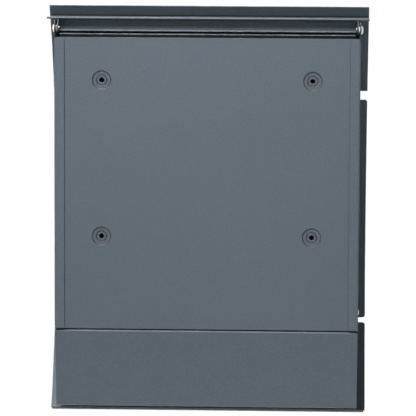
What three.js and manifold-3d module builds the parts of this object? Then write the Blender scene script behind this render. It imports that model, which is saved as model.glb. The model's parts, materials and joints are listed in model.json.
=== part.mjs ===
// A wall mounted mailbox of powder coated sheet steel, in millimetres.
// Frame: +Z up, +Y towards the wall, the front faces -Y, and +X is on the right seen from the front.
// Origin: the centre of the four mounting holes, on the rear face of the back panel.
// "Depth" is the distance in front of the back panel, so y = -depth.
import * as THREE from "three";
import { mergeVertices } from "three/addons/utils/BufferGeometryUtils.js";
import Module from "manifold-3d";

const wasm = await Module();
wasm.setup();

// ---------------------------------------------------------------- driving dimensions
const SHEET = 1.0; // case, roof, rails and brackets
const FRONT_SHEET = 1.2; // the three front plates
const GAP = 0.3; // left between pieces that touch

// The front plates lie on one large cylinder whose axis runs along X: the bow.
const BOW_RADIUS = 430; // outer face
const BOW_DEPTH = 95; // its foremost point
const BOW_HEIGHT = -62; // z of the foremost point
const FRONT_WIDTH = 322;
const CORNER_RADIUS = 2.8;

const FLAP = { bottom: 66, top: 152 }; // mail flap, z of its edges
const DOOR = { bottom: -169.2, top: 57 }; // letter door
const APRON = { bottom: -261.3, top: -174.2 }; // front of the newspaper holder

const CASE_WIDTH = 304.4; // over the side panels
const CASE_BOTTOM = -171.2;
const WALL_TOP = 137; // top edge of the side panels
const WALL_CHAMFER = 3; // cut off their rear top corner
const WALL_CLEARANCE = 0.8; // side panel edge to the front plates
const BACK_TOP = 120.4;
const REAR_FLANGE = { inner: 142, top: 119.3, radius: 3 }; // side panels' flanges behind the back panel

const HOLES = { x: 105, z: 78, radius: 2.45 }; // wall screws
const DISH = { radius: 9.4, depth: 0.9, wall: 0.8, seatRadius: 5.1, seatDepth: 1.2, seatWall: 0.4 };

const FLAP_PIVOT = { depth: 8, z: 129 };
const DOOR_PIVOT = { depth: 75, z: -163 };
const FLAP_BUSH = { head: 4.1, barrel: 3.2, dome: 2.2 };
const DOOR_BUSH = { head: 3.4, barrel: 2.7, dome: 1.9 };
const BUSH_RIM = 0.7; // straight rim under the dome, from the side panel's face
const BUSH_LIP = 0.6; // snap lip behind the side panel
const BUSH_FLOOR = 0.8; // solid end of the bush, outside the bore
const PIN = { radius: 2.0, head: 3.1, headHeight: 1.3, chamfer: 0.7, reach: 0.4 };
const PIN_PLAY = 0.2; // radial clearance of the pins in their ears and bushes
const EAR = { inner: 148.9, outer: 149.9, radius: 5 }; // distance of the ears' faces from the middle
const RELIEF = { inner: 5.9, outer: 9.9, from: 200, to: 335 }; // slot for the door's lower edge, degrees

const ROOF = { rearDepth: 12.5, top: 140.3, flangeTop: 151, hem: 6 };
const STRIP = { depth: 20, top: 139, bottom: 127.4, topFlange: 9, lip: 7, earTop: 138 };
const REAR_RAIL = { halfWidth: 147, lipDepth: 3.6, webDepth: 9.5, top: 124.2, step: 106, bottom: 98 };
const CROSS_RAIL = { webDepth: 69, top: 74, bottom: 50, backDepth: 55, lipDepth: 64, lipBottom: 44 };
const BUMPER = { x: 120, z: 68, radius: 4.5, chamfer: 0.8 };
const DOOR_RETURN = { depth: 62, above: 0.2 }; // fold along the door's lower edge
const BRACKET = { legWidth: 14, below: 3, above: 24 }; // door hinge brackets, from the pivot
const FLOOR = { z: -169, rear: 2.6, front: 56, rearUpstand: 14, frontUpstand: 9 };

const HOLDER = { halfWidth: 151.9, top: -172.5, flangeDepth: 46, bottom: -252, bottomDepth: 12, weld: 11 };
const APRON_RETURN = { depth: 39.5, height: 3.3 };
const SCREWS = { x: 110, depths: [13, 40], shank: 2.0, hole: 2.4, head: 3.8, headHeight: 2.4 };
const SCREW_NUT = { corner: 3.9, bore: 2.2, height: 3.2 };
const SCREW_END = 4; // the screws end this far below the holder's flange

const LOCK_Z = 33; // cam lock, in the middle of the door
const LOCK = { barrel: 9, hole: 9.6, flange: 11, face: 2.9, chamfer: 0.9, plug: 6, bore: 6.3, length: 17 };
const PLUG = { face: 2.5, shoulder: 2, square: 3.4, keyWidth: 1.6, keyHeight: 7.2, keyDepth: 10.5 };
const CAM = { reach: 27, width: 14, eye: 9, thickness: 2 };
const CAM_SCREW = { head: 5.2, slope: 1.8, height: 2.4, shank: 1.5, hole: 1.8, depth: 4 };
const LOCK_WASHER = { radius: 13, height: 0.8, bow: 0.15 }; // bow: the plate's curve behind the washer
const LOCK_NUT = { corner: 13, bore: 9.3, height: 4 };

// ---------------------------------------------------------------- materials
const finish = (color, roughness, metalness) =>
  new THREE.MeshStandardMaterial({ color, roughness, metalness });
const COAT = finish(0x3a4045, 0.55, 0.25); // anthracite powder coat
const NYLON = finish(0xe6e3da, 0.45, 0);
const RUBBER = finish(0x1c1d1e, 0.85, 0);
const STEEL = finish(0xb9bcc0, 0.35, 1);
const CHROME = finish(0xd6d8da, 0.15, 1);

// ---------------------------------------------------------------- solids
const X = new THREE.Vector3(1, 0, 0);
const Y = new THREE.Vector3(0, 1, 0);
const Z = new THREE.Vector3(0, 0, 1);
const BACKWARDS = new THREE.Vector3(0, -1, 0);
const RAD = Math.PI / 180;

// A closed geometry as a manifold-3d solid.
function solid(geometry) {
  const flat = geometry.index ? geometry.toNonIndexed() : geometry;
  const bare = new THREE.BufferGeometry().setAttribute("position", flat.getAttribute("position"));
  const merged = mergeVertices(bare, 1e-4);
  return new wasm.Manifold(
    new wasm.Mesh({
      numProp: 3,
      vertProperties: merged.getAttribute("position").array,
      triVerts: new Uint32Array(merged.index.array),
    }),
  );
}

// A manifold-3d solid as a three.js geometry.
function geometryOf(body) {
  const mesh = body.getMesh();
  const geometry = new THREE.BufferGeometry();
  geometry.setAttribute("position", new THREE.BufferAttribute(mesh.vertProperties, 3));
  geometry.setIndex(new THREE.BufferAttribute(mesh.triVerts, 1));
  geometry.computeVertexNormals();
  return geometry;
}

function extrude(shape, depth, axes, segments) {
  const options = { depth, bevelEnabled: false, curveSegments: segments };
  const geometry = new THREE.ExtrudeGeometry(shape, options);
  return geometry.applyMatrix4(new THREE.Matrix4().makeBasis(...axes));
}

// A (y, z) outline drawn out along X.
function alongX(shape, xLow, xHigh, segments = 12) {
  return solid(extrude(shape, xHigh - xLow, [Y, Z, X], segments).translate(xLow, 0, 0));
}

// An (x, z) outline whose rear face lies at yRear, drawn out towards the front.
function alongY(shape, yRear, thickness, segments = 12) {
  return solid(extrude(shape, thickness, [X, Z, BACKWARDS], segments).translate(0, yRear, 0));
}

// The same outline on the right side or, mirrored, on the left: side is +1 or -1.
function sideSlab(shape, side, inner, outer, segments = 12) {
  return side > 0 ? alongX(shape, inner, outer, segments) : alongX(shape, -outer, -inner, segments);
}

// A (radius, height) profile turned round an axis through a point.
function turned(profile, axis, at, segments = 24) {
  const points = profile.map(([radius, height]) => new THREE.Vector2(radius, height));
  const geometry = new THREE.LatheGeometry(points, segments);
  const turn = new THREE.Quaternion().setFromUnitVectors(Y, axis);
  return solid(geometry.applyQuaternion(turn).translate(...at));
}

// Profile of a solid rod between two heights.
function rod(radius, low, high) {
  return [[0, low], [radius, low], [radius, high], [0, high]];
}

// Profile of a ring between two heights, chamfered round its high outer edge.
function ring(inner, outer, low, high, chamfer = 0) {
  const edge = chamfer ? [[outer, high - chamfer], [outer - chamfer, high]] : [[outer, high]];
  return [[inner, low], [outer, low], ...edge, [inner, high], [inner, low]];
}

// A hexagon nut below a height on an axis.
function hexNut(nut, high, axis, at) {
  const low = high - nut.height;
  const hole = turned(rod(nut.bore, low - 1, high + 1), axis, at);
  return turned(rod(nut.corner, low, high), axis, at, 6).subtract(hole);
}

// A box between two corners.
function block(low, high) {
  const size = high.map((value, i) => value - low[i]);
  const middle = high.map((value, i) => (value + low[i]) / 2);
  return solid(new THREE.BoxGeometry(...size).translate(...middle));
}

// ---------------------------------------------------------------- outlines
const BOW_AXIS_Y = BOW_RADIUS - BOW_DEPTH;
const INNER_FACE = BOW_RADIUS - FRONT_SHEET; // radius of the front plates' inner face

// y of the bow at height z, on the outer face or on a face of another radius.
function bowY(z, radius = BOW_RADIUS) {
  return BOW_AXIS_Y - Math.sqrt(radius ** 2 - (z - BOW_HEIGHT) ** 2);
}

// Direction from the bow's axis to its face at height z.
function bowAngle(z, radius = BOW_RADIUS) {
  return Math.PI - Math.asin((z - BOW_HEIGHT) / radius);
}

// A band that follows the bow between two radii and two heights, with square cut ends.
function bowBand(outer, inner, bottom, top) {
  const low = bowAngle(bottom);
  const high = bowAngle(top);
  const shape = new THREE.Shape();
  shape.absarc(BOW_AXIS_Y, BOW_HEIGHT, outer, high, low, false);
  shape.absarc(BOW_AXIS_Y, BOW_HEIGHT, inner, low, high, true);
  shape.closePath();
  return shape;
}

function polygon(points) {
  const shape = new THREE.Shape();
  points.forEach(([u, v], i) => (i ? shape.lineTo(u, v) : shape.moveTo(u, v)));
  shape.closePath();
  return shape;
}

// Outline of a bent sheet: the points run along one face and the sheet lies on their left.
function bentSheet(points, thickness = SHEET) {
  const at = points.map(([u, v]) => new THREE.Vector2(u, v));
  const normals = at.slice(1).map((p, i) => {
    const along = p.clone().sub(at[i]).normalize();
    return new THREE.Vector2(-along.y, along.x);
  });
  const other = at.map((p, i) => {
    const before = normals[Math.max(i - 1, 0)];
    const after = normals[Math.min(i, normals.length - 1)];
    const mitre = before.clone().add(after).normalize();
    return p.clone().addScaledVector(mitre, thickness / mitre.dot(before));
  });
  return polygon([...at, ...other.reverse()].map((p) => [p.x, p.y]));
}

function roundedRectangle(left, bottom, right, top, radii = [0, 0, 0, 0]) {
  const [bottomLeft, bottomRight, topRight, topLeft] = radii;
  const shape = new THREE.Shape();
  shape.moveTo(left + bottomLeft, bottom);
  shape.lineTo(right - bottomRight, bottom);
  if (bottomRight) shape.absarc(right - bottomRight, bottom + bottomRight, bottomRight, -90 * RAD, 0);
  shape.lineTo(right, top - topRight);
  if (topRight) shape.absarc(right - topRight, top - topRight, topRight, 0, 90 * RAD);
  shape.lineTo(left + topLeft, top);
  if (topLeft) shape.absarc(left + topLeft, top - topLeft, topLeft, 90 * RAD, 180 * RAD);
  shape.lineTo(left, bottom + bottomLeft);
  if (bottomLeft) shape.absarc(left + bottomLeft, bottom + bottomLeft, bottomLeft, 180 * RAD, 270 * RAD);
  shape.closePath();
  return shape;
}

function circle(u, v, radius) {
  const path = new THREE.Shape();
  path.absarc(u, v, radius, 0, 360 * RAD);
  path.closePath();
  return path;
}

// ---------------------------------------------------------------- the assembly
const mailbox = new THREE.Group();

function add(name, body, material, parent = mailbox) {
  const mesh = new THREE.Mesh(geometryOf(body), material);
  mesh.name = name;
  parent.add(mesh);
  return mesh;
}

const halfCase = CASE_WIDTH / 2;
const halfFront = FRONT_WIDTH / 2;
const wallInner = halfCase - SHEET;
const UNDER_FLANGE = HOLDER.top - SHEET - GAP; // just below the holder's top flange
const SIDES = [
  ["right", 1],
  ["left", -1],
];

// ---- case: back panel with its four dished screw holes
function backPanel() {
  const half = wallInner - GAP;
  let body = alongY(roundedRectangle(-half, CASE_BOTTOM, half, BACK_TOP), 0, SHEET);
  const { radius, depth, wall, seatRadius, seatDepth, seatWall } = DISH;
  const outside = -1; // heights run forwards from the rear face
  const boss = [
    [0, SHEET / 2],
    [radius, SHEET / 2],
    [radius - wall, depth + SHEET],
    [seatRadius + seatWall / 2, depth + SHEET],
    [seatRadius - seatWall / 2, seatDepth + SHEET],
    [0, seatDepth + SHEET],
  ];
  const recess = [
    [0, outside],
    [radius, outside],
    [radius, 0],
    [radius - wall, depth],
    [seatRadius + seatWall, depth],
    [seatRadius, seatDepth],
    [0, seatDepth],
  ];
  const bore = rod(HOLES.radius, outside, 2 * SHEET + DISH.depth);
  for (const x of [-HOLES.x, HOLES.x]) {
    for (const z of [-HOLES.z, HOLES.z]) {
      const at = [x, 0, z];
      body = body.add(turned(boss, BACKWARDS, at));
      body = body.subtract(turned(recess, BACKWARDS, at));
      body = body.subtract(turned(bore, BACKWARDS, at));
    }
  }
  return body;
}

// ---- case: side panel with its rear flange, the bush holes and the slot for the door's lower edge
function sidePanel(side) {
  const frontRadius = INNER_FACE - WALL_CLEARANCE;
  const rearY = GAP + SHEET;
  const high = bowAngle(WALL_TOP, frontRadius);
  const low = bowAngle(CASE_BOTTOM, frontRadius);
  const outline = new THREE.Shape();
  outline.moveTo(rearY, CASE_BOTTOM);
  outline.lineTo(rearY, WALL_TOP - WALL_CHAMFER);
  outline.lineTo(rearY - WALL_CHAMFER, WALL_TOP);
  outline.absarc(BOW_AXIS_Y, BOW_HEIGHT, frontRadius, high, low, false);
  outline.closePath();
  const wall = sideSlab(outline, side, wallInner, halfCase, 28);

  const [near, far] = side > 0 ? [REAR_FLANGE.inner, halfCase] : [-halfCase, -REAR_FLANGE.inner];
  const round = REAR_FLANGE.radius;
  const radii = side > 0 ? [round, 0, 0, round] : [0, round, round, 0];
  const flange = roundedRectangle(near, CASE_BOTTOM, far, REAR_FLANGE.top, radii);

  const slot = new THREE.Shape();
  const [pivotY, pivotZ] = [-DOOR_PIVOT.depth, DOOR_PIVOT.z];
  slot.absarc(pivotY, pivotZ, RELIEF.outer, RELIEF.from * RAD, RELIEF.to * RAD, false);
  slot.absarc(pivotY, pivotZ, RELIEF.inner, RELIEF.to * RAD, RELIEF.from * RAD, true);
  slot.closePath();

  const flapHole = circle(-FLAP_PIVOT.depth, FLAP_PIVOT.z, FLAP_BUSH.barrel + GAP);
  const doorHole = circle(pivotY, pivotZ, DOOR_BUSH.barrel + GAP);
  return wall
    .add(alongY(flange, rearY, SHEET, 5))
    .subtract(sideSlab(slot, side, wallInner - 1, halfCase + 1))
    .subtract(sideSlab(flapHole, side, wallInner - 1, halfCase + 1, 24))
    .subtract(sideSlab(doorHole, side, wallInner - 1, halfCase + 1, 24));
}

// ---- case: hat-shaped rail inside the back panel's top edge, whose lip closes the gap under the flap
function rearRail() {
  const rail = REAR_RAIL;
  const seat = -SHEET - GAP; // just off the inner face of the back panel
  const profile = bentSheet([
    [-rail.lipDepth, rail.top],
    [-rail.webDepth, rail.top],
    [-rail.webDepth, rail.step],
    [seat - SHEET, rail.step],
    [seat - SHEET, rail.bottom],
  ]);
  return alongX(profile, -rail.halfWidth, rail.halfWidth);
}

// ---- case: rail across the front between flap and door, with the lip that the lock's cam turns behind
function crossRail() {
  const rail = CROSS_RAIL;
  const profile = bentSheet([
    [-rail.lipDepth, rail.lipBottom],
    [-rail.lipDepth, rail.bottom],
    [-rail.webDepth, rail.bottom],
    [-rail.webDepth, rail.top],
    [-rail.backDepth, rail.top],
  ].reverse());
  const half = wallInner - GAP;
  return alongX(profile, -half, half);
}

// ---- case: floor tray with a rear and a front upstand
function floorTray() {
  const profile = bentSheet([
    [-FLOOR.rear, FLOOR.z + FLOOR.rearUpstand],
    [-FLOOR.rear, FLOOR.z - SHEET],
    [-FLOOR.front, FLOOR.z - SHEET],
    [-FLOOR.front, FLOOR.z + FLOOR.frontUpstand],
  ].reverse());
  const half = wallInner - GAP;
  return alongX(profile, -half, half).subtract(screwHoles());
}

// The screw holes that the case's floor and the holder's flange share.
function screwHoles() {
  const holes = [];
  for (const x of [-SCREWS.x, SCREWS.x]) {
    for (const depth of SCREWS.depths) {
      holes.push(turned(rod(SCREWS.hole, HOLDER.top - 3 * SHEET, FLOOR.z + SHEET), Z, [x, -depth, 0]));
    }
  }
  return holes.reduce((all, hole) => all.add(hole));
}

// ---- blind nylon bush in a side panel: dome outside, snap lip inside, bore open to the inside
function bush(size, pivot, side) {
  const inside = -SHEET - GAP; // heights run outwards from the side panel's outer face
  const bore = PIN.radius + PIN_PLAY;
  const profile = [
    [0, BUSH_FLOOR],
    [bore, BUSH_FLOOR],
    [bore, inside - BUSH_LIP],
    [size.barrel + BUSH_LIP / 3, inside - BUSH_LIP],
    [size.barrel + BUSH_LIP, inside],
    [size.barrel, inside],
    [size.barrel, GAP],
    [size.head, GAP],
  ];
  for (let degrees = 0; degrees < 90; degrees += 15) {
    const rise = Math.sin(degrees * RAD) * size.dome;
    profile.push([Math.cos(degrees * RAD) * size.head, BUSH_RIM + rise]);
  }
  profile.push([0, BUSH_RIM + size.dome]);
  const axis = new THREE.Vector3(side, 0, 0);
  return turned(profile, axis, [side * halfCase, -pivot.depth, pivot.z]);
}

// ---- pivot pin riveted into an ear: its head inside, its end in the bush
function pin(pivot, side) {
  const face = EAR.inner - GAP;
  const end = halfCase + PIN.reach;
  const profile = [
    [0, face - PIN.headHeight],
    [PIN.head - PIN.chamfer, face - PIN.headHeight],
    [PIN.head, face - PIN.chamfer],
    [PIN.head, face],
    [PIN.radius, face],
    [PIN.radius, end],
    [0, end],
  ];
  return turned(profile, new THREE.Vector3(side, 0, 0), [0, -pivot.depth, pivot.z]);
}

// ---- flap: front plate
function frontPlate(bottom, top) {
  return alongX(bowBand(BOW_RADIUS, INNER_FACE, bottom, top), -halfFront, halfFront, 20);
}

// ---- door and apron: front plate with rounded corners
function roundedPlate(bottom, top) {
  const radii = Array(4).fill(CORNER_RADIUS);
  const reach = roundedRectangle(-halfFront, bottom, halfFront, top, radii);
  return frontPlate(bottom, top).intersect(alongY(reach, 0, BOW_DEPTH + SHEET, 5));
}

// ---- flap: roof sheet with an upright flange in front and a folded hem behind
function roof() {
  const flange = INNER_FACE - GAP - SHEET; // rear face of the flange
  const hemFront = ROOF.rearDepth + ROOF.hem;
  const sheet = bentSheet([
    [-ROOF.rearDepth, ROOF.top],
    [bowY(ROOF.top, flange), ROOF.top],
    [bowY(ROOF.flangeTop, flange), ROOF.flangeTop],
  ]);
  const hem = polygon([
    [-ROOF.rearDepth, ROOF.top - SHEET / 2],
    [-hemFront, ROOF.top - SHEET / 2],
    [-hemFront, ROOF.top - 2 * SHEET],
    [-ROOF.rearDepth, ROOF.top - 2 * SHEET],
  ]);
  return alongX(sheet, -halfFront, halfFront).add(alongX(hem, -halfFront, halfFront));
}

// ---- flap: hinge strip under the roof, with a lip along its lower edge and an ear bent back at each end
function hingeStrip() {
  const profile = bentSheet([
    [-STRIP.depth - STRIP.topFlange, STRIP.top],
    [-STRIP.depth, STRIP.top],
    [-STRIP.depth, STRIP.bottom],
    [-STRIP.depth + STRIP.lip, STRIP.bottom],
  ].reverse());
  const ear = new THREE.Shape();
  ear.moveTo(-STRIP.depth - SHEET, STRIP.earTop);
  ear.lineTo(-STRIP.depth - SHEET, STRIP.bottom);
  ear.absarc(-FLAP_PIVOT.depth, FLAP_PIVOT.z, EAR.radius, -90 * RAD, 70 * RAD, false);
  ear.lineTo(-ROOF.rearDepth, STRIP.earTop);
  ear.closePath();
  const hole = circle(-FLAP_PIVOT.depth, FLAP_PIVOT.z, PIN.radius + PIN_PLAY);
  let body = alongX(profile, -EAR.outer, EAR.outer);
  for (const [, side] of SIDES) {
    body = body
      .add(sideSlab(ear, side, EAR.inner, EAR.outer))
      .subtract(sideSlab(hole, side, EAR.inner - 2, EAR.outer + 2, 24));
  }
  return body;
}

// ---- door: plate with the lock hole and the stiffening return along its lower edge
function doorPlate() {
  const plate = roundedPlate(DOOR.bottom, DOOR.top);
  const z = DOOR.bottom + DOOR_RETURN.above;
  const middle = BOW_RADIUS - FRONT_SHEET / 2;
  const fold = polygon([
    [bowY(z, middle), z],
    [-DOOR_RETURN.depth, z],
    [-DOOR_RETURN.depth, z + SHEET],
    [bowY(z + SHEET, middle), z + SHEET],
  ]);
  const reach = EAR.inner - SHEET;
  const bore = rod(LOCK.hole, -LOCK.length, LOCK.length);
  const at = [0, bowY(LOCK_Z), LOCK_Z];
  return plate.add(alongX(fold, -reach, reach)).subtract(turned(bore, lockAxis, at, 32));
}

// ---- door: hinge bracket, one leg on the plate and an ear parallel to the side panel
function doorBracket(side) {
  const [bottom, top] = [DOOR_PIVOT.z - BRACKET.below, DOOR_PIVOT.z + BRACKET.above];
  const outer = INNER_FACE - GAP;
  const inside = EAR.outer - BRACKET.legWidth;
  const leg = sideSlab(bowBand(outer, outer - SHEET, bottom, top), side, inside, EAR.outer);
  const ear = new THREE.Shape();
  ear.absarc(-DOOR_PIVOT.depth, DOOR_PIVOT.z, EAR.radius, -130 * RAD, 60 * RAD, false);
  ear.lineTo(bowY(top, outer - 4), top);
  const middle = outer - SHEET / 2;
  ear.absarc(BOW_AXIS_Y, BOW_HEIGHT, middle, bowAngle(top, middle), bowAngle(bottom, middle), false);
  ear.closePath();
  const hole = circle(-DOOR_PIVOT.depth, DOOR_PIVOT.z, PIN.radius + PIN_PLAY);
  return leg
    .add(sideSlab(ear, side, EAR.inner, EAR.outer))
    .subtract(sideSlab(hole, side, EAR.inner - 2, EAR.outer + 2, 24));
}

// ---- newspaper holder: one sheet with a top flange under the case, a sloping back and a floor
function holderSheet() {
  const holder = HOLDER;
  const weld = INNER_FACE - GAP - SHEET;
  const profile = bentSheet([
    [-holder.flangeDepth, holder.top - SHEET],
    [-SHEET, holder.top - SHEET],
    [-holder.bottomDepth - SHEET, holder.bottom + SHEET],
    [bowY(holder.bottom, weld), holder.bottom + SHEET],
    [bowY(holder.bottom + holder.weld, weld), holder.bottom + holder.weld],
  ]);
  return alongX(profile, -holder.halfWidth, holder.halfWidth).subtract(screwHoles());
}

// ---- newspaper holder: curved apron with a narrow return and lip along its lower edge
function apron() {
  const plate = roundedPlate(APRON.bottom, APRON.top);
  const lip = APRON_RETURN.depth;
  const fold = bentSheet([
    [bowY(APRON.bottom, BOW_RADIUS - FRONT_SHEET / 2), APRON.bottom],
    [-lip, APRON.bottom],
    [-lip, APRON.bottom + APRON_RETURN.height],
  ]);
  const reach = halfFront - CORNER_RADIUS;
  return plate.add(alongX(fold, -reach, reach));
}

// ---- case: rubber bumper on the cross rail, which the closed flap rests on
function bumper(side) {
  const { x, z, radius, chamfer } = BUMPER;
  const start = CROSS_RAIL.webDepth + GAP;
  const end = -bowY(z + radius, INNER_FACE) - GAP;
  const pad = [[0, start], [radius, start], [radius, end - chamfer], [radius - chamfer, end], [0, end]];
  return turned(pad, BACKWARDS, [side * x, 0, z]);
}

// ---- newspaper holder: dome-headed screw through the case's floor and the holder's flange
function holderScrew(at) {
  const { shank, head, headHeight } = SCREWS;
  const under = FLOOR.z + GAP;
  return turned(
    [
      [0, UNDER_FLANGE - SCREW_END],
      [shank, UNDER_FLANGE - SCREW_END],
      [shank, under],
      [head, under],
      [head, under + headHeight / 2],
      [head * 0.65, under + headHeight],
      [0, under + headHeight],
    ],
    Z,
    at,
  );
}

// ---------------------------------------------------------------- case
add("back_panel", backPanel(), COAT);
for (const [name, side] of SIDES) {
  add(`${name}_side_panel`, sidePanel(side), COAT);
}
add("rear_rail", rearRail(), COAT);
add("front_cross_rail", crossRail(), COAT);
add("case_floor", floorTray(), COAT);
for (const [name, side] of SIDES) {
  add(`${name}_flap_bush`, bush(FLAP_BUSH, FLAP_PIVOT, side), NYLON);
  add(`${name}_door_bush`, bush(DOOR_BUSH, DOOR_PIVOT, side), NYLON);
}
for (const [name, side] of SIDES) {
  add(`${name}_flap_bumper`, bumper(side), RUBBER);
}

// ---------------------------------------------------------------- newspaper holder
add("holder_sheet", holderSheet(), COAT);
add("holder_apron", apron(), COAT);
for (const [name, side] of SIDES) {
  SCREWS.depths.forEach((depth, i) => {
    const place = `${name}_${i ? "front" : "rear"}_holder`;
    const at = [side * SCREWS.x, -depth, 0];
    add(`${place}_screw`, holderScrew(at), STEEL);
    add(`${place}_nut`, hexNut(SCREW_NUT, UNDER_FLANGE, Z, at), STEEL);
  });
}

// ---------------------------------------------------------------- mail flap
add("flap_plate", frontPlate(FLAP.bottom, FLAP.top), COAT);
add("flap_roof", roof(), COAT);
add("flap_hinge_strip", hingeStrip(), COAT);
for (const [name, side] of SIDES) {
  add(`${name}_flap_pin`, pin(FLAP_PIVOT, side), STEEL);
}

// ---------------------------------------------------------------- letter door
const lockTilt = Math.asin((LOCK_Z - BOW_HEIGHT) / BOW_RADIUS);
const lockAxis = new THREE.Vector3(0, -Math.cos(lockTilt), Math.sin(lockTilt));
add("door_plate", doorPlate(), COAT);
for (const [name, side] of SIDES) {
  add(`${name}_door_bracket`, doorBracket(side), COAT);
  add(`${name}_door_pin`, pin(DOOR_PIVOT, side), STEEL);
}


// ---------------------------------------------------------------- cam lock, stored unlocked
// Its pieces are turned round the lock's own axis: height 0 is the door's outer face, + is outwards.
const lock = new THREE.Group();
const lockUp = new THREE.Vector3(0, Math.sin(lockTilt), Math.cos(lockTilt));
lock.applyMatrix4(new THREE.Matrix4().makeBasis(X, lockUp, lockAxis));
lock.position.set(0, bowY(LOCK_Z), LOCK_Z);
mailbox.add(lock);
const ON_AXIS = [0, 0, 0];

function lockBody() {
  const flange = turned(ring(LOCK.bore, LOCK.flange, GAP, LOCK.face, LOCK.chamfer), Z, ON_AXIS, 32);
  return flange.add(turned(ring(LOCK.bore, LOCK.barrel, -LOCK.length, GAP + SHEET), Z, ON_AXIS, 32));
}

const plugShoulder = -LOCK.length - PLUG.shoulder;
const camFace = plugShoulder - GAP;
const camBack = camFace - CAM.thickness;

function lockPlug() {
  const { face, square, keyWidth, keyHeight, keyDepth } = PLUG;
  const barrel = rod(LOCK.plug, plugShoulder, face);
  const tail = block([-square, -square, camBack + GAP], [square, square, plugShoulder + SHEET]);
  const thread = rod(CAM_SCREW.hole, camBack - SHEET, plugShoulder + CAM_SCREW.depth);
  const keyway = block(
    [-keyWidth / 2, -keyHeight / 2, face - keyDepth],
    [keyWidth / 2, keyHeight / 2, face + SHEET],
  );
  return turned(barrel, Z, ON_AXIS, 28).add(tail).subtract(turned(thread, Z, ON_AXIS, 16)).subtract(keyway);
}

// The cam points sideways when unlocked and turns up behind the cross rail's lip.
function lockCam() {
  const half = CAM.width / 2;
  const outline = new THREE.Shape();
  outline.absarc(0, 0, CAM.eye, 60 * RAD, 300 * RAD, false);
  outline.lineTo(CAM.reach - half, -half);
  outline.absarc(CAM.reach - half, 0, half, -90 * RAD, 90 * RAD, false);
  outline.closePath();
  const options = { depth: CAM.thickness, bevelEnabled: false, curveSegments: 14 };
  const arm = solid(new THREE.ExtrudeGeometry(outline, options).translate(0, 0, camBack));
  const square = PLUG.square + GAP;
  return arm.subtract(block([-square, -square, camBack - 1], [square, square, camFace + 1]));
}

function camScrew() {
  const { head, slope, height, shank, depth } = CAM_SCREW;
  const under = camBack - GAP;
  const profile = [
    [0, under - height],
    [head - slope, under - height],
    [head, under - height / 2],
    [head, under],
    [shank, under],
    [shank, plugShoulder + depth / 2],
    [0, plugShoulder + depth / 2],
  ];
  return turned(profile, Z, ON_AXIS, 20);
}

function lockWasher() {
  return turned(ring(LOCK.hole, LOCK_WASHER.radius, washerBack, washerFace), Z, ON_AXIS);
}

const washerFace = -FRONT_SHEET - GAP - LOCK_WASHER.bow;
const washerBack = washerFace - LOCK_WASHER.height;
add("lock_body", lockBody(), CHROME, lock);
add("lock_washer", lockWasher(), STEEL, lock);
add("lock_nut", hexNut(LOCK_NUT, washerBack - GAP, Z, ON_AXIS), STEEL, lock);
add("lock_plug", lockPlug(), CHROME, lock);
add("lock_cam", lockCam(), STEEL, lock);
add("lock_cam_screw", camScrew(), STEEL, lock);

export default mailbox;
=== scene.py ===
"""Looks of a wall mounted mailbox of powder coated sheet steel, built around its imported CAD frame.

Metres, +Z up, the wall is at +Y, the front faces -Y and +X is on the right seen from the front.
Every sheet-metal piece is drawn as its flat pattern and then bent round its bend lines, as it is made.
"""

import json
import math

import bmesh
import bpy
from mathutils import Matrix, Vector


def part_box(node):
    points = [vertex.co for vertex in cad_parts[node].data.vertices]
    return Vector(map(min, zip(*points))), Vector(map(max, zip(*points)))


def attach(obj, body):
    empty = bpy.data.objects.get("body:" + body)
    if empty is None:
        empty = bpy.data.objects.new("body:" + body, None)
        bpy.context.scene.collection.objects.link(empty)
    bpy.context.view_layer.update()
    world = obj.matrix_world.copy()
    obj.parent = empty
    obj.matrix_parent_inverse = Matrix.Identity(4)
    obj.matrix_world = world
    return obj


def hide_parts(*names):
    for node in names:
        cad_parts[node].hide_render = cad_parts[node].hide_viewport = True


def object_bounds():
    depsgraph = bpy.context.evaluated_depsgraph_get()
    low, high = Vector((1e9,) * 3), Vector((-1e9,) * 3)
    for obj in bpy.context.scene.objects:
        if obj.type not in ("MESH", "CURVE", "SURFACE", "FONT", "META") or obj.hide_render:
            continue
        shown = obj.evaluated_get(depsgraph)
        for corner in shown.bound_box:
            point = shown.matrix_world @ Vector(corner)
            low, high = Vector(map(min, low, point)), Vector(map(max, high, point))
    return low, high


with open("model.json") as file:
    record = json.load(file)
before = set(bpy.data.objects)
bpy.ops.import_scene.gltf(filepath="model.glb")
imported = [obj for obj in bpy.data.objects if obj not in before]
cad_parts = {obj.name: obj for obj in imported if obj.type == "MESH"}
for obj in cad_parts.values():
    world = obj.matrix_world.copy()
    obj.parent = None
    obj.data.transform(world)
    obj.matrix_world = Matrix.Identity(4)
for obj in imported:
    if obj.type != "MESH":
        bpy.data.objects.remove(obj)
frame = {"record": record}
CAD_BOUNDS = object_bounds()

# ---------------------------------------------------------------- driving dimensions
MM = 0.001
SHEET = 1.0 * MM  # case, roof, rails and brackets
FRONT_SHEET = 1.2 * MM  # the three front plates
EDGE = 0.22 * MM  # rounding of cut edges under the coating
BEND = 0.8 * MM  # inner radius of a bend

BOW_RADIUS = 430 * MM  # outer face of the front plates
BOW_HEIGHT = -62 * MM  # z of their foremost point
BOW_AXIS_Y = BOW_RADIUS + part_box("door_plate")[0].y
BOW_INNER = BOW_RADIUS - FRONT_SHEET
CORNER = 2.8 * MM  # rounded corners of door and apron
RELIEF_SLIT = 0.5 * MM  # slit at each end of a fold
GAP = 0.3 * MM  # left between pieces that touch
SEAM = 0.05 * MM  # between an ear and the sheet that it is bent from

HALF_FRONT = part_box("flap_plate")[1].x
HALF_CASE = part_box("right_side_panel")[1].x
WALL_INNER = HALF_CASE - SHEET
DOOR_BOTTOM = -169.2 * MM  # z of the door plate's lower edge

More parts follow.
